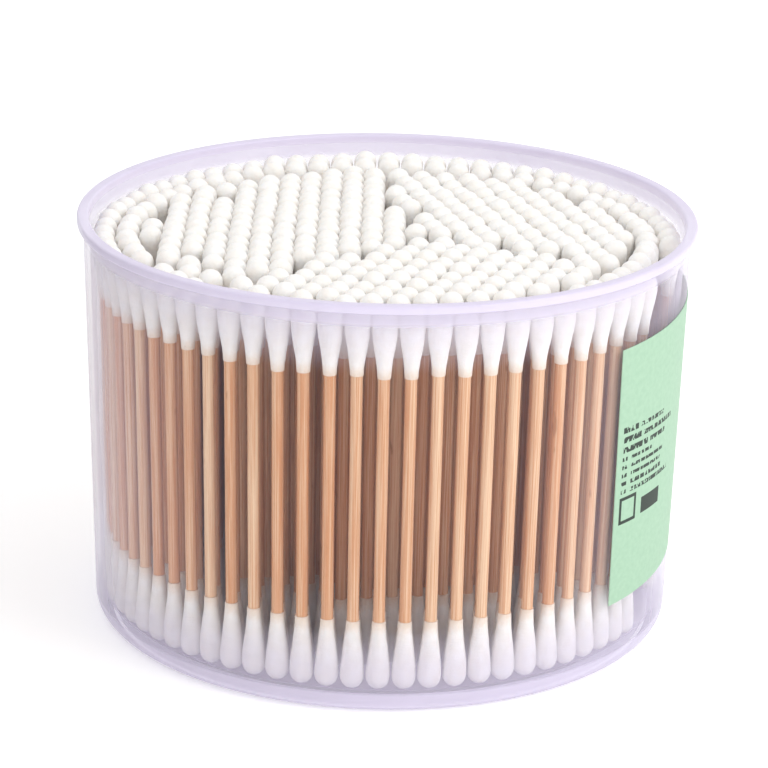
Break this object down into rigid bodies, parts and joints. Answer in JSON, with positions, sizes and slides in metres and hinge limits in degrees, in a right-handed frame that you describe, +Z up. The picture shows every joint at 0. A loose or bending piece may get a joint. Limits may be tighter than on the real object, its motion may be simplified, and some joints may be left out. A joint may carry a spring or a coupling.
{
  "type": "cotton swab tub",
  "caption": "Round frosted plastic tub without its lid, packed upright with wooden cotton swabs, with a paper label on its side.",
  "frame": {"origin": "middle of the foot, on the table", "axes": "+Z up out of the open top, -Y towards the viewer, +X to the viewer's right"},
  "size_m": [0.1232, 0.1232, 0.0826],
  "materials": {
    "frosted_plastic": "frosted translucent polypropylene with a lilac tint",
    "label_paper": "matt coated paper, pale mint green",
    "bamboo": "bare turned bamboo with fine grain",
    "cotton": "wound white cotton"
  },
  "bodies": {
    "root": {"tub": "frosted_plastic", "label": "label_paper", "sticks_01": "bamboo", "sticks_02": "bamboo", "sticks_03": "bamboo", "sticks_04": "bamboo", "sticks_05": "bamboo", "sticks_06": "bamboo", "sticks_07": "bamboo", "sticks_08": "bamboo", "sticks_09": "bamboo", "sticks_10": "bamboo", "sticks_11": "bamboo", "sticks_12": "bamboo", "sticks_13": "bamboo", "top_buds_01": "cotton", "top_buds_02": "cotton", "top_buds_03": "cotton", "top_buds_04": "cotton", "top_buds_05": "cotton", "top_buds_06": "cotton", "top_buds_07": "cotton", "top_buds_08": "cotton", "top_buds_09": "cotton", "top_buds_10": "cotton", "top_buds_11": "cotton", "top_buds_12": "cotton", "top_buds_13": "cotton", "lower_buds_01": "cotton", "lower_buds_02": "cotton", "lower_buds_03": "cotton", "lower_buds_04": "cotton", "lower_buds_05": "cotton", "lower_buds_06": "cotton", "lower_buds_07": "cotton", "lower_buds_08": "cotton", "lower_buds_09": "cotton", "lower_buds_10": "cotton", "lower_buds_11": "cotton", "lower_buds_12": "cotton", "lower_buds_13": "cotton"}
  },
  "joints": []
}
